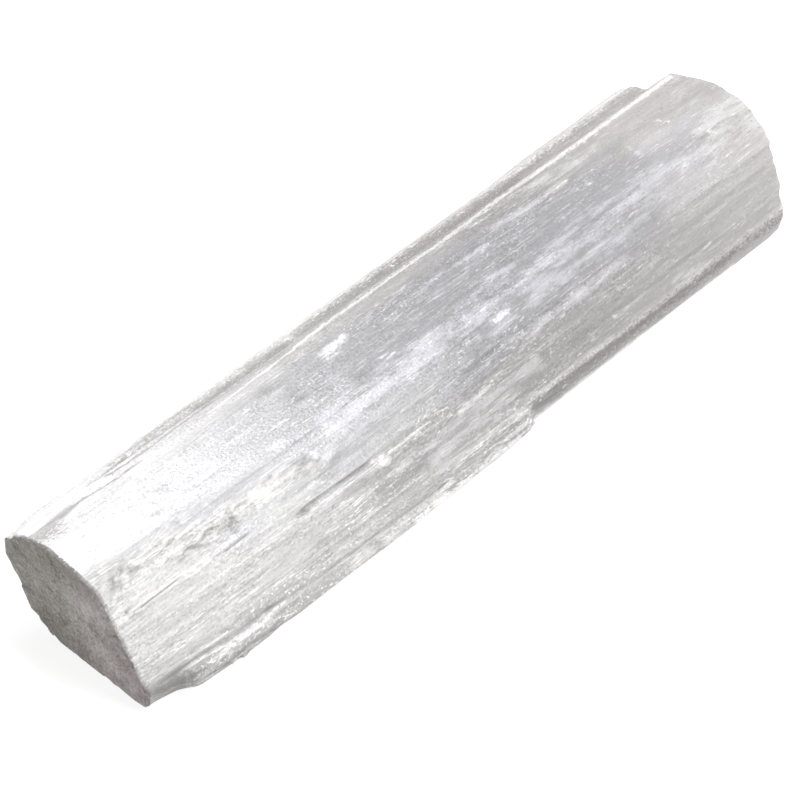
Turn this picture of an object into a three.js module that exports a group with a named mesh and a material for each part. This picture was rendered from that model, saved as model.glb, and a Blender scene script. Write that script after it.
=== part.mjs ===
// A raw selenite stick: one piece of satin spar gypsum, split along its fibres and sawn across.
// It is a long slanted prism with a flat underside, a broad top face and a steep right face. Outer
// layers have split away on both sides, which leaves a ledge along the left side and a shorter one
// on the right. Long splinters of slightly different height cover every face but the underside.
// Millimetres, +Z up, X along the fibres from the sawn end to the far end.
import * as THREE from "three";

// Driving dimensions.
const LENGTH = 104.6; // along the fibres, end to end
const UNDERSIDE = { left: 4.6, right: -7.2 }; // the flat that it rests on
const RIGHT_LEDGE = { from: 3.4, to: 56.9 };
const LEFT_LEDGE = { to: 101 };
const LEDGE_FRONT = 0.7; // a ledge breaks off over this length
const SECTION_GAP = 2.25; // between two sections along the stick
const RISER = 0.12; // the share of a splinter's width that steps up to the next one

// The faces, in order round the section. Each begins at a long edge, given by a few [x, y, z]
// places, and ends at the next face's edge. splinters is how many lie side by side on it, rough is
// how strongly they stand out, and short is how far its edge stops before the far end.
const FACES = [
  {
    name: "top_left",
    splinters: 4,
    rough: 0.45,
    short: 1.6,
    edge: [[0, 8.6, 13.0], [4, 8.8, 13.15], [45, 8.6, 13.2], [86, 8.4, 13.15], [LENGTH, 8.9, 13]],
  },
  {
    name: "top_middle",
    splinters: 4,
    rough: 0.5,
    short: 0,
    edge: [[0, 4.7, 14.15], [30, 4.2, 14.1], [70, 3.6, 14.0], [LENGTH, 3.0, 13.7]],
  },
  {
    name: "top_right",
    splinters: 2,
    rough: 0.75,
    short: 0.2,
    edge: [[0, 0.3, 13.65], [30, 0, 13.75], [70, -0.4, 13.75], [LENGTH, -0.7, 13.5]],
  },
  {
    name: "shoulder",
    splinters: 2,
    rough: 0.8,
    short: 0.6,
    edge: [[0, -2.2, 13.2], [30, -2.5, 13.25], [70, -2.9, 13.3], [LENGTH, -3.2, 13.0]],
  },
  {
    name: "shoulder_foot",
    splinters: 2,
    rough: 0.8,
    short: 0.8,
    edge: [[0, -3.9, 11.9], [30, -4.4, 12.0], [70, -4.9, 12.1], [LENGTH, -5.2, 11.9]],
  },
  {
    name: "right_high",
    splinters: 4,
    rough: 1,
    short: 0.9,
    edge: [[0, -4.9, 10.0], [30, -5.7, 10.2], [70, -6.2, 10.5], [LENGTH, -6.4, 10.3]],
  },
  {
    name: "right_middle",
    splinters: 4,
    rough: 0.9,
    short: 1.6,
    edge: [[0, -6.7, 7.3], [30, -7.9, 7.4], [70, -8.2, 7.4], [LENGTH, -8.3, 7.3]],
  },
  {
    name: "right_low",
    splinters: 2,
    rough: 0.6,
    short: 2.9,
    edge: [[0, -8.8, 3.9], [8, -10.1, 4], [55, -10.3, 4], [60, -10.6, 3.7], [LENGTH, -10.8, 3.5]],
  },
  {
    name: "right_lip",
    splinters: 1,
    rough: 0.25,
    short: 3.3,
    edge: [
      [0, -9.7, 2.4],
      [RIGHT_LEDGE.from, -10.8, 2.3],
      [RIGHT_LEDGE.from + 2, -12.2, 2.4],
      [11, -13.0, 2.6],
      [34, -12.95, 2.7],
      [RIGHT_LEDGE.to - 3 * LEDGE_FRONT, -12.5, 2.6],
      [RIGHT_LEDGE.to - LEDGE_FRONT, -12.1, 2.6],
      [RIGHT_LEDGE.to, -10.9, 2.5],
      [LENGTH, -10.9, 2.3],
    ],
  },
  {
    name: "right_foot",
    splinters: 1,
    rough: 0.3,
    short: 3.5,
    edge: [
      [0, -9.6, 1.2],
      [RIGHT_LEDGE.from, -10.3, 1.1],
      [RIGHT_LEDGE.from + 2, -11.5, 1.1],
      [RIGHT_LEDGE.to - 3 * LEDGE_FRONT, -11.8, 1.2],
      [RIGHT_LEDGE.to, -10.7, 1.2],
      [LENGTH, -10.7, 1.0],
    ],
  },
  {
    name: "underside_right",
    splinters: 1,
    rough: 0.2,
    short: 3.6,
    edge: [[0, -8.9, 0.2], [10, -9.6, 0.3], [60, -10.0, 0.3], [LENGTH, -10.1, 0.3]],
  },
  {
    name: "underside",
    splinters: 5,
    rough: 0,
    short: 3.6,
    edge: [[0, UNDERSIDE.right, 0], [LENGTH, UNDERSIDE.right, 0]],
  },
  {
    name: "underside_left",
    splinters: 1,
    rough: 0.3,
    short: 3.6,
    edge: [[0, UNDERSIDE.left, 0], [LENGTH, UNDERSIDE.left, 0]],
  },
  {
    name: "left_low",
    splinters: 2,
    rough: 0.8,
    short: 3.5,
    edge: [[0, 6.0, 0.4], [50, 6.3, 0.4], [LENGTH, 6.1, 0.5]],
  },
  {
    name: "left_middle",
    splinters: 3,
    rough: 1,
    short: 3.3,
    edge: [[0, 8.5, 2.2], [20, 8.4, 2.4], [70, 8.3, 2.6], [LENGTH, 7.6, 2.8]],
  },
  {
    name: "left_high",
    splinters: 2,
    rough: 0.8,
    short: 2.9,
    edge: [
      [0, 10.4, 6.1],
      [6, 10.6, 6.0],
      [60, 10.5, 6.3],
      [LEFT_LEDGE.to - LEDGE_FRONT, 10.6, 6.4],
      [LEFT_LEDGE.to, 8.4, 6.4],
      [LENGTH, 8.3, 6.4],
    ],
  },
  {
    name: "left_lip",
    splinters: 1,
    rough: 0.4,
    short: 2.6,
    edge: [
      [0, 11.3, 7.9],
      [2.5, 12.2, 8.6],
      [14, 12.4, 8.7],
      [50, 12.2, 8.9],
      [LEFT_LEDGE.to - LEDGE_FRONT, 12.75, 9.1],
      [LEFT_LEDGE.to, 9.0, 9.0],
      [LENGTH, 8.7, 9.0],
    ],
  },
  {
    name: "left_ledge",
    splinters: 2,
    rough: 0.5,
    short: 2.4,
    edge: [
      [0, 11.25, 10.2],
      [2.5, 12.05, 10.7],
      [14, 12.2, 10.7],
      [50, 12.0, 10.9],
      [74, 12.05, 11.0],
      [80, 12.35, 11.0],
      [LEFT_LEDGE.to - LEDGE_FRONT, 12.45, 11.1],
      [LEFT_LEDGE.to, 9.3, 11.0],
      [LENGTH, 8.9, 10.9],
    ],
  },
  {
    name: "left_ledge_top",
    splinters: 1,
    rough: 0.3,
    short: 2.2,
    edge: [
      [0, 10.0, 12.0],
      [4, 10.2, 12.4],
      [50, 10.3, 12.5],
      [LEFT_LEDGE.to - LEDGE_FRONT, 10.9, 12.5],
      [LEFT_LEDGE.to, 9.3, 12.2],
      [LENGTH, 9.1, 11.9],
    ],
  },
  {
    name: "left_step",
    splinters: 1,
    rough: 0,
    short: 2.1,
    edge: [[0, 9, 12.5], [4, 9.2, 12.5], [50, 9.05, 12.55], [LEFT_LEDGE.to, 8.95, 12.5], [LENGTH, 9.1, 12.4]],
  },
];

// Splinters that stand clear of the rest, by face and by number from its edge: an open split, the
// layers that flaked off by the sawn end, the groove behind the right lip, and a few long slivers.
const SCARS = [
  { face: "right_high", first: 2, last: 2, from: 24.8, to: 36.4, depth: 0.55 },
  { face: "top_right", first: 1, last: 1, from: 4.6, to: 12.4, depth: 0.3 },
  { face: "shoulder", first: 0, last: 1, from: 2.4, to: 23.6, depth: 0.35 },
  { face: "shoulder_foot", first: 0, last: 1, from: 1.5, to: 17.5, depth: 0.35 },
  { face: "right_low", first: 1, last: 1, from: 8.5, to: 31, depth: 0.4 },
  { face: "top_left", first: 0, last: 0, from: 1.2, to: 9.4, depth: 0.22 },
  { face: "top_middle", first: 2, last: 2, from: 33, to: 55, depth: 0.14 },
  { face: "right_middle", first: 1, last: 1, from: 63, to: 90, depth: 0.25 },
  { face: "right_middle", first: 3, last: 3, from: 12, to: 44, depth: -0.25 },
  { face: "left_middle", first: 1, last: 1, from: 40, to: 66, depth: 0.45 },
  { face: "left_low", first: 0, last: 1, from: 0.5, to: 9, depth: 0.4 },
];

// A repeatable number from -0.5 to 0.5 for a pair of whole numbers.
function chance(i, j) {
  let h = Math.imul(i, 374761393) + Math.imul(j, 668265263);
  h = Math.imul(h ^ (h >>> 13), 1274126177);
  return ((h ^ (h >>> 16)) >>> 0) / 4294967296 - 0.5;
}

const { lerp: mix, clamp, smoothstep } = THREE.MathUtils;

// A number from -0.5 to 0.5 that changes smoothly with t.
function drift(seed, t) {
  const k = Math.floor(t);
  return mix(chance(seed, k), chance(seed, k + 1), smoothstep(t - k, 0, 1));
}

// The y and z of a face's edge at x, straight between its places.
function edgeAt(face, x) {
  const last = face.edge.length - 2;
  let k = 0;
  while (k < last && x > face.edge[k + 1][0]) k += 1;
  const [x0, y0, z0] = face.edge[k];
  const [x1, y1, z1] = face.edge[k + 1];
  const t = clamp((x - x0) / (x1 - x0), 0, 1);
  return new THREE.Vector2(mix(y0, y1, t), mix(z0, z1, t));
}

// The splinters: where each breaks off along the stick, and what height it has in between.
const BREAKS = { shortest: 12, spread: 34 };
const splinters = FACES.flatMap((face, f) =>
  Array.from({ length: face.splinters }, (_, number) => ({
    face,
    next: FACES[(f + 1) % FACES.length],
    number,
    seed: 100 * f + 7 * number,
    scars: SCARS.filter((s) => s.face === face.name && number >= s.first && number <= s.last),
  })),
);
for (const splinter of splinters) {
  splinter.ends = splinter.scars.flatMap((scar) => [scar.from, scar.to]);
  let x = BREAKS.shortest * (1 + chance(splinter.seed, 1));
  for (let k = 2; x < LENGTH - 8; k += 1) {
    if (splinter.ends.every((end) => Math.abs(end - x) > 6)) {
      splinter.ends.push(x);
    }
    x += BREAKS.shortest + BREAKS.spread * (0.5 + chance(splinter.seed, k));
  }
  splinter.ends.sort((a, b) => a - b);
}

// A break slants: it lies a little further along one side of the splinter than along the other.
const SLANT = 2.6;
const breakAt = (splinter, side, k) => splinter.ends[k] + side * SLANT * chance(splinter.seed, 20 + k);

// How far a splinter stands off the plain face at x: its own height between two breaks, with a
// slow swell that it shares with its neighbours, less the depth of a scar. side is -0.5 or 0.5.
const STANDS = { height: 0.32, taper: 0.16, tilt: 0.14, swell: 0.3, swellLength: 27 };
function relief(splinter, side, x) {
  const { seed, face } = splinter;
  const ends = splinter.ends.map((_, k) => breakAt(splinter, side, k));
  const k = ends.filter((end) => end < x).length;
  const from = k > 0 ? ends[k - 1] : 0;
  const to = k < ends.length ? ends[k] : LENGTH;
  const height = STANDS.height * chance(seed, 40 + k);
  const taper = STANDS.taper * chance(seed, 60 + k) * (2 * ((x - from) / (to - from)) - 1);
  const tilt = STANDS.tilt * side * 2 * chance(seed, 80 + k);
  const swell = STANDS.swell * drift(Math.floor(seed / 25), x / STANDS.swellLength);
  const unslanted = k > 0 ? splinter.ends[k - 1] : 0;
  const scar = splinter.scars.find((s) => unslanted >= s.from && unslanted < s.to);
  return face.rough * (height + taper + tilt + swell) - (scar ? scar.depth : 0);
}

// The columns of points: one down each side of each splinter, close to its neighbour's.
const WANDER = { share: 0.2, length: 21 };
const UNEVEN = 0.55; // how unlike each other's widths the splinters of a face are
const columns = splinters.flatMap((splinter) => [
  { splinter, side: -0.5, at: splinter.number, inset: RISER / 2 },
  { splinter, side: 0.5, at: splinter.number + 1, inset: -RISER / 2 },
]);

// The plain point of a column at x. The line between two splinters of a face wanders a little.
function plainPoint({ splinter, at, inset }, x) {
  const { face, next } = splinter;
  const inner = at > 0 && at < face.splinters;
  const seed = FACES.indexOf(face) * 50 + at;
  const wander = inner ? UNEVEN * chance(seed, 5) + WANDER.share * drift(seed, x / WANDER.length) : 0;
  return edgeAt(face, x).lerp(edgeAt(next, x), (at + inset + wander) / face.splinters);
}

// Sections along the stick: evenly spaced, and one at each place where a ledge begins or ends.
// Towards the two ends they close in a little, which rounds the rims.
const SAWN_RIM = [
  { x: 0, scale: 0.992 },
  { x: 0.35, scale: 1 },
  { x: 1.3, scale: 1 },
];
const FAR_RIM = [
  { x: LENGTH - 2.4, scale: 1 },
  { x: LENGTH - 0.9, scale: 0.99 },
  { x: LENGTH - 0.25, scale: 0.97 },
  { x: LENGTH, scale: 0.935 },
];
const LEDGE_ENDS = [
  RIGHT_LEDGE.from,
  RIGHT_LEDGE.from + 2,
  RIGHT_LEDGE.to - LEDGE_FRONT,
  RIGHT_LEDGE.to,
  LEFT_LEDGE.to - LEDGE_FRONT,
  LEFT_LEDGE.to,
];
const first = SAWN_RIM.at(-1).x;
const span = FAR_RIM[0].x - first;
const gaps = Math.round(span / SECTION_GAP);
const even = Array.from({ length: gaps - 1 }, (_, k) => first + (span * (k + 1)) / gaps);
const between = even.filter((x) => LEDGE_ENDS.every((end) => Math.abs(end - x) > SECTION_GAP / 3));
const sections = [
  ...SAWN_RIM,
  ...[...between, ...LEDGE_ENDS].sort((a, b) => a - b).map((x) => ({ x, scale: 1 })),
  ...FAR_RIM,
];

// Where a column's points lie along x: the two nearest a break close in on it, which makes a step.
const STEP = 0.16;
function placesAlong({ splinter, side }) {
  const xs = sections.map((section) => section.x);
  for (const k of splinter.ends.keys()) {
    const place = breakAt(splinter, side, k);
    const after = xs.findIndex((x) => x > place);
    const inside = after > SAWN_RIM.length && after < xs.length - FAR_RIM.length;
    const free = [xs[after - 1], xs[after]].every((x) => !LEDGE_ENDS.includes(x));
    if (inside && free && splinter.face.rough > 0) {
      xs[after - 1] = Math.max(place - STEP, mix(xs[after - 2], place, 0.5));
      xs[after] = Math.min(place + STEP, mix(xs[after + 1], place, 0.5));
    }
  }
  return xs;
}

// The chips along the underside where the saw came out: how high each reaches, from the right.
const CHIPS = { heights: [0, 0.1, 0.3, 0.7, 0.2, 1.2], step: 0.3, length: 1.2 };
function chipAt({ splinter, side, at }, x) {
  const under = splinter.face.name === "underside";
  const height = under ? Math.max(0, CHIPS.heights[at] + side * CHIPS.step) : 0;
  return height * clamp(1 - x / CHIPS.length, 0, 1);
}

// The far end stops short by a different length at each edge, over the last stretch of the stick.
const SHORTENING = 18;
function shortened({ splinter, at }, x) {
  const { face, next } = splinter;
  const short = mix(face.short, next.short, at / face.splinters);
  return x - short * clamp((x - LENGTH + SHORTENING) / SHORTENING, 0, 1);
}

const HEART = new THREE.Vector2(0, 7); // the middle of the section
const positions = [];
function addPoint(x, y, z) {
  positions.push(x, y, z);
  return positions.length / 3 - 1;
}

// The skin: one row of points for each section, one point for each column.
const alongs = columns.map(placesAlong);
const skin = sections.map((section, s) =>
  columns.map((column, c) => {
    const x = alongs[c][s];
    const point = plainPoint(column, x);
    const before = plainPoint(columns.at(c - 1), x);
    const after = plainPoint(columns[(c + 1) % columns.length], x);
    const along = after.sub(before).normalize();
    const out = new THREE.Vector2(along.y, -along.x);
    point.addScaledVector(out, relief(column.splinter, column.side, x));
    point.sub(HEART).multiplyScalar(section.scale).add(HEART);
    const z = Math.max(point.y, 0) + chipAt(column, x);
    return addPoint(shortened(column, x), point.x, z);
  }),
);

// The far end face has one ring inside its rim, which makes it slightly hollow and uneven.
const HOLLOW = { scale: 0.6, depth: 0.5, uneven: 0.25 };
const hollow = skin.at(-1).map((point) => {
  const [x, y, z] = positions.slice(3 * point, 3 * point + 3);
  const around = Math.atan2(z - HEART.y, y - HEART.x);
  const depth = HOLLOW.depth + HOLLOW.uneven * Math.sin(2 * around + 1);
  return addPoint(x - depth, mix(HEART.x, y, HOLLOW.scale), mix(HEART.y, z, HOLLOW.scale));
});
const sawnMiddle = addPoint(0, HEART.x, HEART.y);
const farMiddle = addPoint(LENGTH - 2.6, HEART.x, HEART.y);

const rows = [...skin, hollow];
const triangles = columns.flatMap((_, c) => {
  const n = (c + 1) % columns.length;
  const wall = rows.slice(1).flatMap((row, r) => {
    const [a, b, d, e] = [rows[r][c], rows[r][n], row[n], row[c]];
    return [a, d, e, a, b, d];
  });
  return [...wall, sawnMiddle, skin[0][n], skin[0][c], farMiddle, hollow[c], hollow[n]];
});

const geometry = new THREE.BufferGeometry();
geometry.setAttribute("position", new THREE.Float32BufferAttribute(positions, 3));
geometry.setIndex(triangles);

// The frame's origin is under the middle of the stick, on the surface that it rests on.
geometry.computeBoundingBox();
const middle = geometry.boundingBox.getCenter(new THREE.Vector3());
geometry.translate(-middle.x, -middle.y, -geometry.boundingBox.min.z);
geometry.computeVertexNormals();

const selenite = new THREE.MeshStandardMaterial({ color: 0xdcdadb, roughness: 0.45, metalness: 0 });
const stick = new THREE.Mesh(geometry, selenite);
stick.name = "selenite_stick";

const part = new THREE.Group();
part.add(stick);

export default part;
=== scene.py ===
"""A raw selenite stick lying on a white table under one long softbox."""

import math

import bpy
import numpy as np
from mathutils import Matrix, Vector


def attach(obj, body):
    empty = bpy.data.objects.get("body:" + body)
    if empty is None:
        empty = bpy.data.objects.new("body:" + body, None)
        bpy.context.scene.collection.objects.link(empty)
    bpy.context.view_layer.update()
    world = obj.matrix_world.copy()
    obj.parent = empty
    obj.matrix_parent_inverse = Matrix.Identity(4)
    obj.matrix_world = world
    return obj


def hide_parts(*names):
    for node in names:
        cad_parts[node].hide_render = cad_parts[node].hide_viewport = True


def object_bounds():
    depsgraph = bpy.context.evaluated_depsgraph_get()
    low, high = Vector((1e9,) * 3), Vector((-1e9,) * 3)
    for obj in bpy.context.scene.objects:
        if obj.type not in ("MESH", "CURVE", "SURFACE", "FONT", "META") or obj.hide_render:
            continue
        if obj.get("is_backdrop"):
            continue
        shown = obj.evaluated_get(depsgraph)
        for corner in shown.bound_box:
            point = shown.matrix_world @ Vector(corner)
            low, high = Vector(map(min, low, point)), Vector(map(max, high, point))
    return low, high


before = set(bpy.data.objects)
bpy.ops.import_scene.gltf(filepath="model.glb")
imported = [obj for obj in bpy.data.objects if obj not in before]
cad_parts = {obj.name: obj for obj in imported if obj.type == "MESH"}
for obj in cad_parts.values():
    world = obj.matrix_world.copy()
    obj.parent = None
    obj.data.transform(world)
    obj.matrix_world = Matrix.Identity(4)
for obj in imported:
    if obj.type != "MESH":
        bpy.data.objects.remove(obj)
cad_low, cad_high = (tuple(corner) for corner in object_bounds())


# ---- The table, its light and the camera -----------------------------------------------------
# A matt white table top that runs out of sight, lit from inside like a light table. A long strip
# softbox hangs across the stick, beyond its middle, and white walls give the rest of the light.
MM = 0.001
bpy.ops.object.select_all(action="DESELECT")
bpy.ops.mesh.primitive_plane_add(size=6, location=(0, 0, 0))
table = bpy.context.object
table.name = "white_table"
table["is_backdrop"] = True

table_paint = bpy.data.materials.new("matt_white_table")
table_paint.use_nodes = True
paint = table_paint.node_tree.nodes["Principled BSDF"]
paint.inputs["Base Color"].default_value = (0.32, 0.32, 0.32, 1)
paint.inputs["Emission Color"].default_value = (1, 1, 1, 1)
paint.inputs["Emission Strength"].default_value = 0.82
paint.inputs["Roughness"].default_value = 0.9
paint.inputs["Specular IOR Level"].default_value = 0.1
table.data.materials.append(table_paint)

SOFTBOX_SIZE = (0.12, 0.90)
SOFTBOX_PLACE = (0.125, -0.15, 0.42)
SOFTBOX_POWER = 3.6
softbox_light = bpy.data.lights.new("softbox", "AREA")
softbox_light.shape = "RECTANGLE"
softbox_light.size, softbox_light.size_y = SOFTBOX_SIZE
softbox_light.energy = SOFTBOX_POWER
softbox = bpy.data.objects.new("softbox", softbox_light)
softbox.location = SOFTBOX_PLACE
bpy.context.collection.objects.link(softbox)

walls = bpy.data.worlds.new("white_walls")
walls.use_nodes = True
walls.node_tree.nodes["Background"].inputs["Color"].default_value = (1, 1, 1, 1)
walls.node_tree.nodes["Background"].inputs["Strength"].default_value = 0.45
bpy.context.scene.world = walls
bpy.context.scene.view_settings.view_transform = "Standard"

# The camera looks down the stick from beyond its sawn end, halfway up, through a long lens.
VIEW_AZIMUTH = math.radians(-46.4)
VIEW_ELEVATION = math.radians(45.2)
VIEW_DISTANCE = 349.5 * MM
VIEW_TARGET = Vector((-2.3, 2.8, 0.4)) * MM
towards_camera = Vector(
    (
        math.sin(VIEW_AZIMUTH) * math.cos(VIEW_ELEVATION),
        -math.cos(VIEW_AZIMUTH) * math.cos(VIEW_ELEVATION),
        math.sin(VIEW_ELEVATION),
    )
)
lens = bpy.data.cameras.new("long_lens")
lens.lens = 140
lens.sensor_width = 36
lens.clip_start = 0.01
camera = bpy.data.objects.new("camera", lens)
camera.location = VIEW_TARGET + VIEW_DISTANCE * towards_camera
camera.rotation_euler = towards_camera.to_track_quat("Z", "Y").to_euler()
bpy.context.collection.objects.link(camera)
bpy.context.scene.camera = camera


# ---- The selenite stick ----------------------------------------------------------------------
# One piece of satin spar gypsum: silky white fibres grown side by side, split lengthwise by hand
# and sawn across. Its surface is a copy of the solid with even faces, drawn out along the fibres,
# and each layer of splinters then moves it in or out a little.
cad_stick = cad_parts["selenite_stick"]


def copied_solid(name):
    """A copy of the solid stick, its doubles merged, as the only thing selected."""
    bpy.ops.object.select_all(action="DESELECT")
    cad_stick.select_set(True)
    bpy.context.view_layer.objects.active = cad_stick
    bpy.ops.object.duplicate()
    copy = bpy.context.object
    copy.name = name
    bpy.ops.object.mode_set(mode="EDIT")
    bpy.ops.mesh.select_all(action="SELECT")
    bpy.ops.mesh.remove_doubles(threshold=1e-6)
    bpy.ops.object.mode_set(mode="OBJECT")
    return copy


def read_vectors(elements, name):
    """One vector for each vertex or face, as rows of three numbers."""
    values = np.empty(3 * len(elements))
    elements.foreach_get(name, values)
    return values.reshape(-1, 3)


def select_faces(piece, chosen):
    """Goes into edit mode with just these faces selected."""
    bpy.ops.object.mode_set(mode="EDIT")
    bpy.ops.mesh.select_mode(type="FACE")
    bpy.ops.mesh.select_all(action="DESELECT")
    bpy.ops.object.mode_set(mode="OBJECT")
    piece.data.polygons.foreach_set("select", chosen)
    bpy.ops.object.mode_set(mode="EDIT")


# The fibres first run on past both sawn ends, and the ends are cut afterwards, so the rims are
# clean. The far end is uneven, so its face is looked for deeper in than the near one's.
NEAR_END_DEPTH = 1 * MM
FAR_END_DEPTH = 5 * MM
SPARE = 5 * MM
stick = copied_solid("fibrous_stick")
for side, depth in ((-1, NEAR_END_DEPTH), (1, FAR_END_DEPTH)):
    facing_out = side * read_vectors(stick.data.polygons, "normal")[:, 0]
    reach = side * read_vectors(stick.data.polygons, "center")[:, 0]
    select_faces(stick, (facing_out > 0.5) & (reach > cad_high[0] - depth))
    bpy.ops.transform.translate(value=(side * SPARE, 0, 0))
    bpy.ops.object.mode_set(mode="OBJECT")

# The even faces are made on a squeezed stick, so that they come out four times as long as wide.
SQUEEZE = 0.25
FACE_WIDTH = 0.14 * MM
stick.scale.x = SQUEEZE
bpy.ops.object.transform_apply(location=False, rotation=False, scale=True)
even_faces = stick.modifiers.new("even_faces", "REMESH")
even_faces.mode = "VOXEL"
even_faces.voxel_size = FACE_WIDTH
bpy.ops.object.modifier_apply(modifier=even_faces.name)
stick.scale.x = 1 / SQUEEZE
bpy.ops.object.transform_apply(location=False, rotation=False, scale=True)
worn = stick.modifiers.new("worn", "SMOOTH")
worn.factor = 0.5
worn.iterations = 10
bpy.ops.object.modifier_apply(modifier=worn.name)

# The flat underside needs few faces; the rest keeps them all for the splinters.
UNDERSIDE_FACES_KEPT = 0.05
looks_down = read_vectors(stick.data.polygons, "normal")[:, 2] < -0.99
select_faces(stick, looks_down)
bpy.ops.mesh.decimate(ratio=UNDERSIDE_FACES_KEPT)
bpy.ops.object.mode_set(mode="OBJECT")

# Both ends are cut by the solid itself, made wider so that only its ends reach the fibres.
WIDER = 1.15
cutter = copied_solid("end_cutter")
cutter.scale = (1, WIDER, WIDER)
cutter.location.z = -0.5 * (WIDER - 1) * cad_high[2]
bpy.ops.object.transform_apply()
for piece, sawn in ((stick, 0), (cutter, 1)):
    attribute = piece.data.attributes.new("sawn", "FLOAT", "FACE")
    attribute.data.foreach_set("value", np.full(len(piece.data.polygons), sawn, np.float32))
bpy.ops.object.select_all(action="DESELECT")
stick.select_set(True)
bpy.context.view_layer.objects.active = stick
sawn_off = stick.modifiers.new("sawn_off", "BOOLEAN")
sawn_off.operation = "INTERSECT"
sawn_off.solver = "MANIFOLD"
sawn_off.object = cutter
bpy.ops.object.modifier_apply(modifier=sawn_off.name)
bpy.data.objects.remove(cutter)

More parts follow.
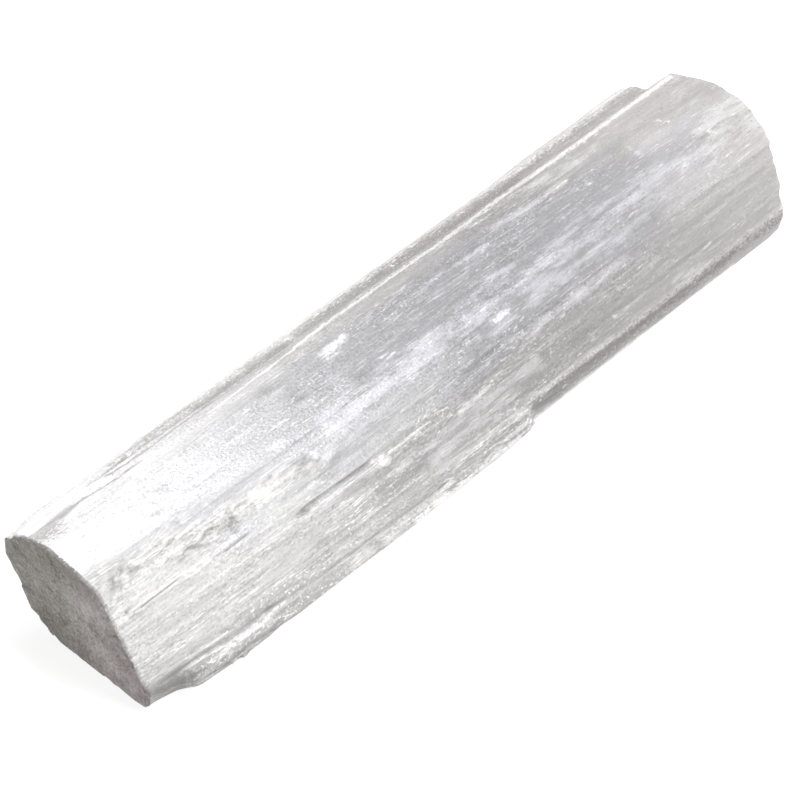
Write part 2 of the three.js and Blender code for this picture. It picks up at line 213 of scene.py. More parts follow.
# Marks on the stick: lines through places given in millimetres, each with its width. They only say
# where a mark lies, and the patterns further down break it up along the fibres. A line that runs a
# little off the surface leaves a fainter mark.
MARKS = {
    # Crumbly, where a flake was torn off.
    "torn": [
        (
            [
                (-51, -2, 13.2),
                (-46, -2.6, 12.4),
                (-43, -2.8, 12.3),
                (-41, -3.7, 11.7),
                (-39, -3.9, 11.1),
            ],
            1.9,
        ),
        ([(-39, -3.9, 11.1), (-36, -3.8, 11.5), (-30, -3.9, 11.7), (-24, -4.4, 11.6)], 1.4),
        ([(-51, -3.9, 11.3), (-49, -5, 10)], 1.5),
        ([(-52.3, 7.2, 13.3), (-49.5, 7.5, 13.4), (-46.5, 7.8, 13.4)], 0.8),
    ],
    # Whiter, where the fibres have come loose.
    "broken": [
        ([(-52, -2.2, 13), (-28, -4, 12)], 3),
        ([(-52, -6.4, 7.8), (-31, -7.4, 7.8)], 6.5),
        ([(-31, -7.4, 7.8), (-20, -8.8, 5.6)], 2.4),
        ([(-51, 11, 11.5), (-36, 11.3, 11.5)], 1.6),
        ([(-30, -12, 2.8), (-12, -12, 2.8)], 1.2),
    ],
    # A little lighter; along the low right band this is painted light.
    "pale": [
        ([(-52, -4.6, 10.3), (-30, -5.2, 10.4)], 4.5),
        ([(-51, 11, 11.5), (-34, 11.3, 11.6)], 1.2),
        ([(-38, 6, 13.6), (-18, 6.5, 13.6)], 1.8),
        ([(38, 2, 13.7), (52, 0, 13.5)], 3.5),
        ([(-26, -6.4, 8.9), (-14, -6.5, 8.9)], 1.3),
        ([(-14, 7, 14.7), (0, 7, 14.6), (10, 7, 14.8)], 2.4),
        ([(26, 6.6, 14.4), (38, 6.2, 14.4)], 2.3),
        ([(27, 8.6, 12.8), (38, 8.4, 12.8)], 1),
        ([(-14, 11.3, 11.7), (0, 11.3, 11.9)], 1.4),
        ([(40, 11.5, 11.8), (48, 11.7, 11.8)], 1.1),
        ([(38, 6, 14.4), (51, 5.6, 14.3)], 2.6),
        ([(38, 7.8, 13.1), (51, 7.9, 12.9)], 1.7),
        ([(40, -10.6, 7.6), (52, -10.6, 7.2)], 2.7),
        # Painted light along the low right band, lifting its shade, this line and the next.
        ([(-26, -10.3, 4.1), (-13, -10.2, 4.2)], 0.5),
        ([(-13, -10.1, 4.3), (0, -10.3, 4.1), (22, -10.4, 3.9), (38, -10.3, 3.9), (50, -10.2, 4)], 0.6),
        ([(-13, -3.3, 12.9), (-2, -3.3, 12.9)], 1.2),
        ([(36, -5, 12), (52, -5.5, 10.5)], 5),
        ([(-30, -5.5, 10.4), (-6, -5.8, 10.4)], 4.5),
    ],
    # White along a rubbed edge, and painted light along the bottom of the low right band, lit by the
    # white table.
    "chalky_and_table_lit": [
        ([(-32, 11.2, 11.6), (0, 11.2, 11.9), (30, 11.3, 11.8), (48, 11.8, 11.8)], 2.1),
        ([(-27, 7.1, 13.6), (-20, 7.3, 13.5), (-14, 7.5, 13.5)], 0.27),
        ([(-14, 7.6, 13.5), (-8, 7.9, 13.4), (0, 7.9, 13.3)], 0.48),
        ([(0, 7.9, 13.3), (9, 7.8, 13.3), (20, 8.1, 13.2)], 0.55),
        ([(20, 8.1, 13.2), (33, 8, 13.2), (50, 8.2, 13.1)], 0.6),
        ([(-45.3, -11.2, 3.1), (-41.2, -11.4, 3.2), (-37.3, -11.3, 3.3), (-33.2, -10.9, 3.6)], 0.4),
        ([(-16, -12.6, 2.6), (1, -12.4, 2.6)], 0.6),
        # Painted light at the bottom of the low right band, lit by the white table below.
        ([(5, -10.8, 1.4), (40, -10.7, 1.2)], 0.6),
    ],
    # White spots where the stone was knocked.
    "bruised": [
        ([(-12.8, 4, 14.1), (-9.4, 4.7, 14)], 1.3),
        ([(-31.5, -3.6, 12), (-29.6, -4.4, 11.4)], 1.5),
        ([(-16.4, -6.8, 8.2), (-15.2, -7.5, 7.8)], 1.1),
        ([(28.1, 2.1, 13.7), (28.4, 2, 13.7)], 0.7),
        ([(42, 3.8, 13.7), (42.3, 3.3, 13.7)], 0.7),
        ([(42.9, 2.6, 13.7), (43, 2.3, 13.7)], 0.6),
        ([(43.5, 0.5, 13.6), (43.6, 0.3, 13.6)], 0.5),
        ([(44.3, -0.5, 13.6), (45.6, -2.4, 13.3)], 0.4),
        ([(25, 4.1, 13.8), (27, 4.3, 13.8)], 0.5),
        ([(-8.8, -0.4, 13.7), (-7.5, -0.4, 13.7)], 0.25),
        ([(-8.2, -0.9, 13.6), (-7, -0.8, 13.6)], 0.25),
        ([(-4, -8, 7.3), (0, -8, 7.6)], 1),
        ([(42.5, -6.2, 10.3), (44, -6.2, 10.1)], 0.5),
        ([(20.4, -9.1, 5.5), (20.7, -9.1, 5.5)], 0.5),
    ],
    # Milky veils.
    "hazed": [
        ([(-19, -3, 12.6), (-12, -3, 12.9), (0, -2.6, 13.1), (14, -2.9, 13.1)], 2.6),
        ([(14, -2.7, 13.1), (26, -2.6, 13.2), (40, -2.6, 13.2), (50, -2.6, 13.1)], 2.5),
        ([(4, -5.2, 11.7), (30, -5.2, 11.7)], 0.9),
        ([(-51, -3.8, 11.3), (-40, -3.9, 11.1)], 2.2),
        ([(-52, 9.5, 12.3), (-42, 9.2, 12.5)], 2.1),
        ([(24, 6.8, 13.4), (30, 6.3, 13.5)], 2),
        ([(15, 4.6, 13.9), (26, 4.2, 13.9)], 1),
        ([(8.5, -0.1, 13.7), (12, -1, 13.6)], 1),
        ([(1, 3.6, 13.9), (12, 3.4, 13.9)], 0.7),
        ([(44, -1.2, 13.5), (52, -0.8, 13.2)], 2.3),
        ([(42, -2.8, 13), (52, -3.4, 12.2)], 3),
        ([(36.2, 1, 13.7), (36.2, 2.6, 13.7)], 0.6),
        ([(9, -6.8, 9.3), (14, -6.6, 9.8)], 1),
        ([(-10, -9.3, 5.1), (3, -9, 5.5)], 1.6),
        ([(-14, -8.4, 6.3), (-1, -8.4, 6.4), (8, -8.2, 6.9)], 1.2),
        ([(-12, -10.3, 4), (10, -10.4, 3.9), (24, -10.3, 3.9)], 0.8),
        ([(11, -4.8, 12.2), (27, -4.9, 12.1)], 1),
        ([(2, -6.4, 9.7), (25, -6.7, 9.8)], 1),
        ([(-24, -7, 8.1), (-16, -7.4, 8)], 1.1),
        ([(30, -10, 4.5), (37, -10.4, 4.1)], 0.9),
    ],
    # Dark and sunk in: cracks, with painted shade in them, and painted shade along the step at the left
    # edge of the top, along the foot of the right slope, along the low right band and in the near
    # bottom corner.
    "cracked_and_shaded": [
        ([(-37, -5.6, 9.5), (-34, -5.6, 9.6)], 0.3),
        # Painted shade along the foot of the right slope, this line and the next.
        ([(-51.5, -9.5, 3.3), (-45.7, -10.1, 3.9), (-41.3, -10.6, 3.7), (-36, -10.7, 3.7)], 0.55),
        ([(-36, -10.7, 3.7), (-30, -11.2, 3.4), (-10, -11.5, 3.2)], 0.35),
        ([(-47, -12, 2.7), (-43.5, -12.1, 2.5), (-39.6, -12.2, 2.6), (-37.4, -12.3, 2.4)], 0.45),
        ([(-37.4, -12.3, 2.4), (-35.5, -12.2, 1.8), (-32.5, -11.5, 1.1)], 0.6),
        ([(-32.5, -11.5, 1.1), (-20, -11.4, 1.1), (0, -11.1, 1.1)], 0.8),
        ([(-44, -12.5, 2.4), (-30, -12.6, 2), (-6, -12.4, 1.9), (4, -11.7, 1.8)], 0.4),
        ([(-47.4, -2.6, 12.5), (-46.2, -3, 12.3)], 0.35),
        ([(-40.8, -3.7, 11.4), (-39.1, -4.2, 10.8)], 0.4),
        # Painted shade along the step at the left edge of the top, this line and the next.
        ([(-52.3, 8.2, 13), (-50, 7.8, 13.2), (-47.5, 7.5, 13.4), (-45.6, 7.7, 13.4)], 0.55),
        ([(-45.6, 7.7, 13.4), (-42, 7.6, 13.4), (-40, 7.3, 13.5), (-36.3, 7.4, 13.5)], 0.27),
        ([(-46.5, 5.8, 14.1), (-42.9, 5.7, 14.1), (-38.9, 6.2, 14)], 0.45),
        ([(-41.4, 8.8, 13.2), (-39.2, 9.5, 12.4), (-36.6, 9.5, 12.4), (-34.7, 8.9, 13)], 0.2),
        # Painted shade on the dark side of the same step, this line and the next.
        ([(-40.4, 8.4, 13.3), (-35.9, 8.2, 13.4), (-27, 8.3, 13.3)], 0.25),
        ([(-27, 8.3, 13.3), (-20, 8.3, 13.2), (-14, 8.3, 13.1)], 0.35),
        ([(-48.5, -5.1, 9.8), (-45.5, -5.1, 9.9), (-43, -5, 9.9)], 0.2),
        ([(-45, 12.1, 10), (-38, 12.4, 9), (-14, 12.3, 9)], 0.5),
        # Painted shade on the dark side of the step.
        ([(-26, 9.3, 12.9), (-13, 9.3, 12.8)], 1.3),
        ([(-47, 10.9, 11.6), (-32, 10.8, 11.9)], 0.3),
        ([(-51, 11.9, 10.4), (-44, 12.1, 10.6), (-26, 12.1, 10.7)], 0.6),
        # Painted shade along the low right band, under the slope's edge, this line and the next.
        ([(4.8, -10.8, 2.9), (9, -10.8, 2.7)], 0.9),
        ([(8, -10.7, 3.4), (40, -10.7, 3.2)], 0.85),
        # Painted shade in the near bottom corner, this line and the next.
        ([(-52.3, -9.5, 2.9), (-50.3, -9.9, 2.7), (-47.8, -10.8, 2.6)], 1),
        ([(-51.5, -9.6, 1.3), (-48.5, -10.6, 1.6)], 1),
        ([(17, 12.1, 10.8), (27, 12.3, 11)], 0.3),
    ],
    # Greyish brown: stains, and painted shade along the low right band, in the near bottom corner and
    # just behind the near rim.
    "stained_and_shaded": [
        ([(-38, 9.5, 12.4), (-26, 9.3, 12.6)], 0.8),
        ([(-26, 9.1, 12.8), (-14, 9, 12.8)], 1.8),
        ([(-42, 9.2, 12.8), (-35.5, 9, 13)], 0.8),
        ([(-39, 10.4, 12.3), (-27, 10.3, 12.4)], 0.9),
        ([(-14, 9.3, 12.6), (24, 9.3, 12.5)], 1.3),
        ([(-39, -10.8, 4.6), (-27, -10.7, 4.8)], 1.7),
        ([(-27, -10.2, 5.8), (-13, -10.1, 5.8)], 1.8),
        ([(24, 9.8, 12.3), (40, 10, 12.2)], 0.4),
        ([(-46, -12.1, 1.9), (-37.5, -12.2, 1.8)], 0.9),
        ([(-45, -12, 2.5), (-37, -12.3, 2.5), (-26, -12.4, 2.5)], 1.7),
        ([(-26, -12.7, 2.3), (-13, -12.6, 2.2)], 0.7),
        ([(-38, -12.8, 2.3), (-28, -12.8, 2.3)], 2),
        # Painted shade along the low right band, under the slope's edge.
        ([(5, -10.8, 2.9), (12, -10.9, 2.7)], 1.3),
        ([(-52.3, 3.4, 1.2), (-50.5, 3.4, 1.2)], 2),
        # Painted shade along the low right band, this line and the next.
        ([(5.5, -10.6, 3.4), (49, -10.5, 3.2)], 1.2),
        ([(9, -10.8, 3), (38, -10.6, 3)], 1.5),
        # Painted shade in the near bottom corner, this line and the next.
        ([(-52.3, -9.6, 2.9), (-50, -10.2, 2.4), (-47.8, -10.8, 2.4)], 1.8),
        ([(-48, -10.8, 3), (-45.5, -11.3, 2.9)], 0.8),
        # Painted shade on the top just behind the near rim.
        ([(-52.3, 6.4, 13.6), (-49.5, 6.4, 13.7)], 1.8),
    ],
    # Fine white scratches.
    "scratched": [
        ([(-14.3, -7.1, 8.2), (-11.9, -7.2, 8.2), (-9.6, -7.1, 8.3), (-7.8, -7.2, 8.2)], 0.22),
        ([(-7, -7, 8.6), (-4.9, -7.2, 8.3)], 0.2),
        ([(-6.3, -7.6, 7.8), (-5.3, -7.8, 7.6)], 0.2),
    ],
}


def marked(marks, places):
    """How strongly each place is marked: 1 on a mark's line, 0 from the mark's width away."""
    strongest = np.zeros(len(places))
    for points, width in marks:
        for start, end in zip(points, points[1:]):
            run = np.subtract(end, start)
            share = np.clip((places - start) @ run / (run @ run), 0, 1)
            away = np.linalg.norm(places - start - share[:, None] * run, axis=1)
            strongest = np.maximum(strongest, 1 - away / width)
    return strongest


vertices = read_vectors(stick.data.vertices, "co") / MM
for name, marks in MARKS.items():
    attribute = stick.data.attributes.new(name, "FLOAT", "POINT")
    attribute.data.foreach_set("value", marked(marks, vertices).astype(np.float32))


def add(tree, kind, feeds, result=0, **settings):
    """A new node with its settings made and its inputs fed; gives back one of its outputs."""
    node = tree.nodes.new(kind)
    for name, value in settings.items():
        setattr(node, name, value)
    for name, feed in feeds.items():
        if isinstance(feed, bpy.types.NodeSocket):
            tree.links.new(feed, node.inputs[name])
        else:
            node.inputs[name].default_value = feed
    return node.outputs[result]


def calc(tree, operation, *terms, clamp=False):
    """One step of arithmetic, held between 0 and 1 if clamp is set."""
    feeds = dict(enumerate(terms))
    return add(tree, "ShaderNodeMath", feeds, operation=operation, use_clamp=clamp)


def product(tree, first, second):
    """first times second."""
    return calc(tree, "MULTIPLY", first, second)


def coordinate(tree, vector, axis):
    """One coordinate of a vector."""
    return add(tree, "ShaderNodeSeparateXYZ", {0: vector}, axis)


def total(tree, *terms):
    """The sum of terms, each a value or a pair of a value and its weight."""
    result = 0.0
    for term in terms:
        value, weight = term if isinstance(term, tuple) else (term, 1.0)
        result = calc(tree, "MULTIPLY_ADD", value, weight, result)
    return result


def ramp(tree, value, start, end, low=0.0, high=1.0):
    """value taken smoothly from low at start to high at end, and held outside them."""
    feeds = {"Value": value, "From Min": start, "From Max": end, "To Min": low, "To Max": high}
    return add(tree, "ShaderNodeMapRange", feeds, interpolation_type="SMOOTHSTEP")


def along_fibres(tree, place, length, width, shift):
    """The place measured in lengths and widths, so that a pattern is length long and width wide.

    Patterns with different shifts have nothing in common.
    """
    stretch = (1 / (length * MM), 1 / (width * MM), 1 / (width * MM))
    feeds = {0: place, 1: stretch, 2: (shift, 2 * shift, -shift)}
    return add(tree, "ShaderNodeVectorMath", feeds, operation="MULTIPLY_ADD")


def noise(tree, place, length, width, shift, detail=2.0, roughness=0.5):
    """A cloudy pattern from 0 to 1, mostly near a half."""
    vector = along_fibres(tree, place, length, width, shift)
    feeds = {"Vector": vector, "Scale": 1.0, "Detail": detail, "Roughness": roughness}
    return add(tree, "ShaderNodeTexNoise", feeds, "Fac")


def centred(tree, pattern):
    """A pattern from 0 to 1 made to go up or down from 0."""
    return calc(tree, "SUBTRACT", pattern, 0.5)


def threads(tree, place, length, width, shift, thick):
    """1 on thin wandering lines about width apart, 0 elsewhere."""
    away = calc(tree, "ABSOLUTE", centred(tree, noise(tree, place, length, width, shift)))
    return ramp(tree, away, 0.0, thick, 1.0, 0.0)


def splinter_tone(tree, place, length, width, shift):
    """A number from 0 to 1 for each splinter of that size."""
    vector = along_fibres(tree, place, length, width, shift)
    colour = add(tree, "ShaderNodeTexVoronoi", {"Vector": vector, "Scale": 1.0}, "Color")
    return coordinate(tree, colour, "X")


WANDER = 1.1 * MM


def wandering(tree, place):
    """The place, moved aside a little as it goes along the stick, as the fibres are."""
    vector = along_fibres(tree, place, length=26, width=9, shift=3.0)
    feeds = {"Vector": vector, "Scale": 1.0, "Detail": 1.0}
    colour = add(tree, "ShaderNodeTexNoise", feeds, "Color")
    feeds = {0: colour, 1: (0, WANDER, WANDER), 2: place}
    return add(tree, "ShaderNodeVectorMath", feeds, operation="MULTIPLY_ADD")


def crumbs(tree, place):
    """Short broken bits, up or down from 0."""
    return centred(tree, noise(tree, place, 0.8, 0.35, 5.0, detail=3.0, roughness=0.8))


def lumps(tree, place):
    """Rounder and larger bits, up or down from 0."""
    return centred(tree, noise(tree, place, 1.6, 0.9, 6.0, roughness=0.6))


# The splinters: four sizes, each splinter a little higher or lower than the next, shallow on the
# top and deeper on the slopes. The surface moves square to the fibres, so the sawn ends stay flat.
# Each size is a length, a width and a height, and all heights here are in millimetres.
SPLINTERS = [(40, 1.7, 0.06), (18, 0.8, 0.05), (7, 0.4, 0.04), (2.5, 0.3, 0.02)]
SPLINTER_FOOT = 0.6  # how much of its height a splinter may lie below the surface
TOP_SHARE = 0.25  # how much of their height splinters keep on the top
END_SHARE = 0.4  # and at the two ends
END_LENGTH = 4 * MM
CRUMB_HEIGHT = 0.4
LUMP_HEIGHT = 0.6
CRACK_DEPTH = 0.2
relief = bpy.data.node_groups.new("splinters", "GeometryNodeTree")
relief.interface.new_socket("Geometry", in_out="INPUT", socket_type="NodeSocketGeometry")
relief.interface.new_socket("Geometry", in_out="OUTPUT", socket_type="NodeSocketGeometry")
surface = relief.nodes.new("NodeGroupInput").outputs[0]
position = add(relief, "GeometryNodeInputPosition", {})
normal = add(relief, "GeometryNodeInputNormal", {})
off_axis = add(relief, "ShaderNodeVectorMath", {0: normal, 1: (0, 1, 1)}, operation="MULTIPLY")
off_axis_share = add(relief, "ShaderNodeVectorMath", {0: off_axis}, "Value", operation="LENGTH")
outwards = add(relief, "ShaderNodeVectorMath", {0: off_axis}, operation="NORMALIZE")
upwards = coordinate(relief, outwards, "Z")
torn_mark = add(relief, "GeometryNodeInputNamedAttribute", {"Name": "torn"}, data_type="FLOAT")
crack_and_shade_mark = add(relief, "GeometryNodeInputNamedAttribute", {"Name": "cracked_and_shaded"}, data_type="FLOAT")
fibres = wandering(relief, position)

height = 0.0
for layer, (length, width, tall) in enumerate(SPLINTERS):
    tone = splinter_tone(relief, fibres, length, width, layer)
    splinter = calc(relief, "MULTIPLY_ADD", tone, tall, -SPLINTER_FOOT * tall)
    height = calc(relief, "ADD", height, splinter)
height = product(relief, height, ramp(relief, upwards, 0.8, 0.97, 1.0, TOP_SHARE))
crust = total(
    relief,
    (crumbs(relief, position), CRUMB_HEIGHT),
    (lumps(relief, position), LUMP_HEIGHT),
)
crust = product(relief, crust, ramp(relief, torn_mark, 0.0, 0.7))
height = total(relief, height, crust, (ramp(relief, crack_and_shade_mark, 0.0, 1.0), -CRACK_DEPTH))
not_below = ramp(relief, upwards, -0.9, -0.6)
height = product(relief, height, not_below)
from_middle = calc(relief, "ABSOLUTE", coordinate(relief, position, "X"))
near_end = ramp(relief, from_middle, cad_high[0] - END_LENGTH, cad_high[0], 1.0, END_SHARE)
height = product(relief, height, near_end)
not_ends_in_metres = ramp(relief, off_axis_share, 0.0, 0.3, 0.0, MM)
height = product(relief, height, not_ends_in_metres)
push = add(relief, "ShaderNodeVectorMath", {0: outwards, "Scale": height}, operation="SCALE")
moved = add(relief, "GeometryNodeSetPosition", {"Geometry": surface, "Offset": push})
relief.links.new(moved, relief.nodes.new("NodeGroupOutput").inputs[0])

splintered = stick.modifiers.new("splintered", "NODES")
splintered.node_group = relief
bpy.ops.object.modifier_apply(modifier=splintered.name)
SHARP_EDGE = math.radians(50)
bpy.ops.object.shade_smooth_by_angle(angle=SHARP_EDGE)

# The stone's patterns. Those laid on strands wander with the fibres, and those laid on place don't.
# Crumbs, lumps and sand are broken stone, silk is whole fibres, and a band is one size of splinter.
gypsum = bpy.data.materials.new("satin_spar")
gypsum.use_nodes = True
stone = gypsum.node_tree
skin = stone.nodes["Principled BSDF"]
place = add(stone, "ShaderNodeTexCoord", {}, "Object")
along, off_side, level = [coordinate(stone, place, axis) for axis in "XYZ"]
strands = wandering(stone, place)
mark = {}
for name in [*MARKS, "sawn"]:
    mark[name] = add(stone, "ShaderNodeAttribute", {}, "Fac", attribute_name=name)

crumb = crumbs(stone, place)
lump = lumps(stone, place)
sand = centred(stone, noise(stone, place, 0.4, 0.28, 18.0, roughness=0.7))
silk = centred(stone, noise(stone, strands, 3.5, 0.22, 16.0, roughness=0.65))
bands = [
    centred(stone, splinter_tone(stone, strands, length, width, layer))
    for layer, (length, width, _) in enumerate(SPLINTERS)
]
torn = ramp(stone, total(stone, mark["torn"], (crumb, 0.5)), 0.0, 0.5)
broken = total(stone, mark["broken"], (silk, 1.2), (crumb, 0.5))
broken = ramp(stone, broken, 0.0, 0.45)
streaks = ramp(stone, noise(stone, strands, 4, 0.15, 7.0, detail=0.0), 0.62, 0.74)
patches = ramp(stone, noise(stone, strands, 9, 1.5, 21.0, detail=3.0), 0.46, 0.62)
streaks = product(stone, streaks, patches)
lines = threads(stone, strands, 14, 0.6, 8.0, 0.02)
patches = ramp(stone, noise(stone, strands, 8, 2.2, 23.0, detail=3.0), 0.45, 0.6)
lines = product(stone, lines, patches)
dashes = ramp(stone, noise(stone, strands, 1.2, 0.15, 9.0, detail=0.0), 0.68, 0.76)
patches = ramp(stone, noise(stone, strands, 4, 1.1, 10.0), 0.48, 0.62)
dashes = product(stone, dashes, patches)
grains = ramp(stone, noise(stone, place, 0.3, 0.22, 12.0, detail=0.0), 0.62, 0.74)
patches = ramp(stone, noise(stone, place, 3, 1.6, 17.0), 0.4, 0.62, 0.15, 1.0)
specks = product(stone, grains, patches)
nicks = threads(stone, place, 3, 0.9, 27.0, 0.015)
patches = ramp(stone, noise(stone, place, 6, 2.5, 28.0), 0.42, 0.6)
nicks = product(stone, nicks, patches)

# Milky veils, white bruises, chalky edges and scratches.
cloud = noise(stone, strands, 5, 1.1, 11.0, detail=6.0, roughness=0.62)
haze = total(stone, cloud, (mark["hazed"], 0.2), (silk, 0.12), (crumb, 0.15), (sand, 0.25))
haze = ramp(stone, haze, 0.5, 0.78)
haze = product(stone, haze, ramp(stone, mark["hazed"], 0.0, 0.6, 0.35, 0.72))
flecks = product(stone, threads(stone, place, 2.6, 1.7, 19.0, 0.018), haze)
mottle = noise(stone, place, 1.6, 0.5, 13.0, detail=5.0, roughness=0.75)
bruise = total(stone, (mottle, 2.4), (silk, 0.8), (sand, 0.8), -1.2, mark["bruised"])
bruise = ramp(stone, bruise, 0.1, 1.1, 0.0, 0.85)
chalk_and_table_light = total(stone, mark["chalky_and_table_lit"], (crumb, 1.3), (silk, 0.6), (sand, 1.2))
chalk_and_table_light = ramp(stone, chalk_and_table_light, 0.2, 0.9, 0.0, 0.55)
scratch = ramp(stone, total(stone, mark["scratched"], (crumb, 0.6)), 0.3, 0.7)

# How white the stone is: it is grey and clear where the fibres are whole, and white where they are
# loose. The fine pattern is strong in some stretches and weak in others, and fades to the far end.
on_slopes = ramp(stone, level, 13 * MM, 11.5 * MM)
texture = total(
    stone,
    *[(band, 0.03) for band in bands],
    (silk, 0.12),
    (crumb, 0.45),
    (sand, 0.6),
    (product(stone, sand, on_slopes), 0.3),
    (specks, 0.35),
    (streaks, 0.2),
    (lines, 0.45),
    (flecks, 0.4),
)
busy = ramp(stone, noise(stone, strands, 14, 3, 41.0, detail=3.0), 0.42, 0.6, 0.4, 1.2)
fading = ramp(stone, along, 10 * MM, 45 * MM, 1.0, 0.45)
strength = total(stone, product(stone, busy, fading), (broken, 0.5))
torn_texture = total(stone, (crumb, 0.6), (lump, 0.8))
LEAST_WHITE = 0.08
whiteness = total(
    stone,
    LEAST_WHITE,
    # Painted light: whiter towards the far end, where light shows through its thin edges.
    (ramp(stone, along, 0.0, 50 * MM), 0.14),
    (mark["pale"], 0.2),
    (broken, 0.22),
    (product(stone, broken, silk), 0.45),
    (product(stone, broken, specks), -0.3),
    (torn, -0.05),
    product(stone, torn, torn_texture),
    product(stone, texture, strength),
    (dashes, 0.4),
    chalk_and_table_light,
    (scratch, 0.5),
)
whiteness = calc(stone, "MAXIMUM", whiteness, bruise)


def blend_colours(tree, share, low, high):
    """A colour between two, by share."""
    return add(tree, "ShaderNodeMix", {0: share, 6: low, 7: high}, 2, data_type="RGBA")


# Veils are milky, loose fibres white, stains and painted shade greyish brown, and cracks, splits and
# painted shade dark.
CLEAR = (0.215, 0.211, 0.213, 1)
MILKY = (0.56, 0.56, 0.58, 1)
WHITE = (0.88, 0.88, 0.88, 1)
STAIN_AND_SHADE_BROWN = (0.15, 0.134, 0.126, 1)
SHADE_AND_DIRT = (0.1, 0.09, 0.085, 1)
body = blend_colours(stone, haze, CLEAR, MILKY)
shade = blend_colours(stone, calc(stone, "ADD", whiteness, 0.0, clamp=True), body, WHITE)
# The greyish brown is stains, and painted shade along the low right band, in the near bottom corner and
# behind the near rim.
stain_and_shade = total(stone, mark["stained_and_shaded"], (crumb, 1.8), (sand, 3.2), (grains, -1.8), 0.05)
stain_and_shade = ramp(stone, stain_and_shade, 0.15, 1.2, 0.0, 0.9)
shade = blend_colours(stone, stain_and_shade, shade, STAIN_AND_SHADE_BROWN)
splits = threads(stone, strands, 13, 0.9, 14.0, 0.02)
splits = product(stone, splits, calc(stone, "MAXIMUM", mark["hazed"], broken))
# Cracks and splits are dark; the cracked marks also carry painted shade along steps, along the low
# right band and in the near bottom corner.
crack_and_shade = total(stone, mark["cracked_and_shaded"], (crumb, 0.9), (silk, 1.2), lump)
crack_and_shade = ramp(stone, crack_and_shade, 0.25, 0.9)
dark = total(stone, (crack_and_shade, 0.6), (splits, 0.3), (nicks, 0.12))
shade = blend_colours(stone, calc(stone, "ADD", dark, 0.0, clamp=True), shade, SHADE_AND_DIRT)

# The stone is faintly lavender in the middle of the stick, and warmer towards its edges and ends.
# The middle is a long round shape, with its place and its size in millimetres.
LAVENDER = (0.98, 0.978, 1.02, 1)
ROSY = (1.02, 0.99, 0.972, 1)
OLIVE = (1.013, 1.005, 0.975, 1)
MIDDLE = (0, -1, 13)
MIDDLE_SIZE = (44, 6.5, 9)
feeds = {
    0: place,
    1: [1 / (size * MM) for size in MIDDLE_SIZE],
    2: [-middle / size for middle, size in zip(MIDDLE, MIDDLE_SIZE)],
}
off_middle = add(stone, "ShaderNodeVectorMath", feeds, operation="MULTIPLY_ADD")
off_middle = add(stone, "ShaderNodeVectorMath", {0: off_middle}, "Value", operation="LENGTH")
tinge = noise(stone, place, 9, 4, 25.0)
warm = ramp(stone, total(stone, off_middle, tinge, (torn, 0.5)), 1.05, 1.85)
olive = ramp(stone, total(stone, (along, -1 / (60 * MM)), (tinge, 3.0), torn), 1.2, 2.2)
tint = blend_colours(stone, warm, LAVENDER, blend_colours(stone, olive, ROSY, OLIVE))
shade = add(stone, "ShaderNodeVectorMath", {0: shade, 1: tint}, operation="MULTIPLY")

# The sawn ends are matt and darker, because there the eye looks down into the fibres. They are painted
# lighter towards the top, where the lit top shines through, and browner to one side. The saw left fine
# scratches at a slant.
SAW_STROKE = Vector((0, -0.69, -0.72))
DARK_BROWN = (0.052, 0.022, 0.012, 1)
DARK_OLIVE = (0.045, 0.032, 0.008, 1)
LIGHT_BROWN = (0.5, 0.445, 0.42, 1)
LIGHT_OLIVE = (0.48, 0.455, 0.4, 1)
STROKE_WEIGHT = 0.45
BLOTCH_WEIGHT = 0.9
GRAIN_WEIGHT = 1.7
SAWN_LEAST_LIGHT = 0.14
turn = SAW_STROKE.rotation_difference(Vector((1, 0, 0))).to_euler()
feeds = {"Vector": place, "Rotation": turn}
strokes = add(stone, "ShaderNodeVectorRotate", feeds, rotation_type="EULER_XYZ")
saw_marks = total(
    stone,
    (noise(stone, strokes, 1.6, 0.28, 31.0, roughness=0.6), STROKE_WEIGHT),
    (noise(stone, place, 2.6, 2.6, 32.0, detail=5.0, roughness=0.65), BLOTCH_WEIGHT),
    (noise(stone, place, 0.3, 0.3, 33.0, roughness=0.7), GRAIN_WEIGHT),
    (threads(stone, strokes, 7, 1.6, 34.0, 0.018), -0.3),
    -0.5 * (STROKE_WEIGHT + BLOTCH_WEIGHT + GRAIN_WEIGHT),
)
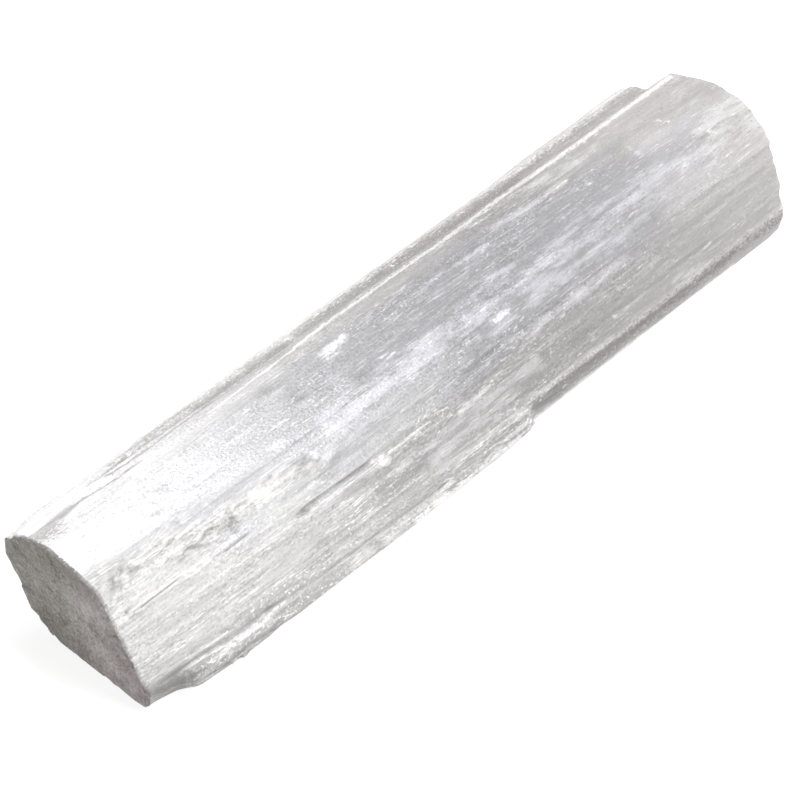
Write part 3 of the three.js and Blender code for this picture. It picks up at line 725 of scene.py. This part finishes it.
# Painted light: the sawn face grows lighter towards the top of the stick.
painted_light_near_top = ramp(stone, total(stone, level, (off_side, -0.35)), -1 * MM, 13 * MM)
browner = ramp(stone, total(stone, off_side, (tinge, 12 * MM)), 11 * MM, 2 * MM)
sawn_tone_with_painted_light = total(stone, saw_marks, (painted_light_near_top, 0.55))
sawn_tone_with_painted_light = calc(stone, "ADD", sawn_tone_with_painted_light, SAWN_LEAST_LIGHT, clamp=True)
sawn_dark = blend_colours(stone, browner, DARK_OLIVE, DARK_BROWN)
sawn_light = blend_colours(stone, browner, LIGHT_OLIVE, LIGHT_BROWN)
sawn_shade = blend_colours(stone, sawn_tone_with_painted_light, sawn_dark, sawn_light)
shade = blend_colours(stone, mark["sawn"], shade, sawn_shade)
stone.links.new(shade, skin.inputs["Base Color"])

# The finest roughness, too small for the mesh.
fine = noise(stone, strands, 2.5, 0.14, 15.0, detail=1.0)
bumps = total(stone, (fine, 0.15), (crumb, 0.4), (sand, 0.7))
bumps = add(stone, "ShaderNodeMix", {0: mark["sawn"], 2: bumps, 3: saw_marks}, 0)
bump = stone.nodes.new("ShaderNodeBump")
bump.inputs["Strength"].default_value = 0.7
bump.inputs["Distance"].default_value = 0.05 * MM
stone.links.new(bumps, bump.inputs["Height"])
stone.links.new(bump.outputs[0], skin.inputs["Normal"])

# Whole fibres are silky: their gloss is spread across them. Loose, torn and sawn ones are matt.
SILKY_ROUGHNESS = 0.44
MATT_ROUGHNESS = 0.8
matt = total(stone, (bruise, 0.5), torn, (broken, 0.8), crack_and_shade, stain_and_shade, (nicks, 0.45), mark["sawn"])
roughness = ramp(stone, matt, 0.0, 1.0, SILKY_ROUGHNESS, MATT_ROUGHNESS)
stone.links.new(roughness, skin.inputs["Roughness"])
skin.inputs["IOR"].default_value = 2.0
skin.inputs["Specular IOR Level"].default_value = 1.0
skin.inputs["Specular Tint"].default_value = (0.985, 0.98, 1, 1)
skin.inputs["Anisotropic"].default_value = 1.0
skin.inputs["Subsurface Weight"].default_value = 0.3
skin.inputs["Subsurface Radius"].default_value = (1, 1, 1)
skin.inputs["Subsurface Scale"].default_value = 2.5 * MM
across = stone.nodes.new("ShaderNodeTangent")
across.direction_type = "RADIAL"
across.axis = "X"
stone.links.new(across.outputs[0], skin.inputs["Tangent"])

stick.data.materials.clear()
stick.data.materials.append(gypsum)
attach(stick, "root")
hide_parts("selenite_stick")
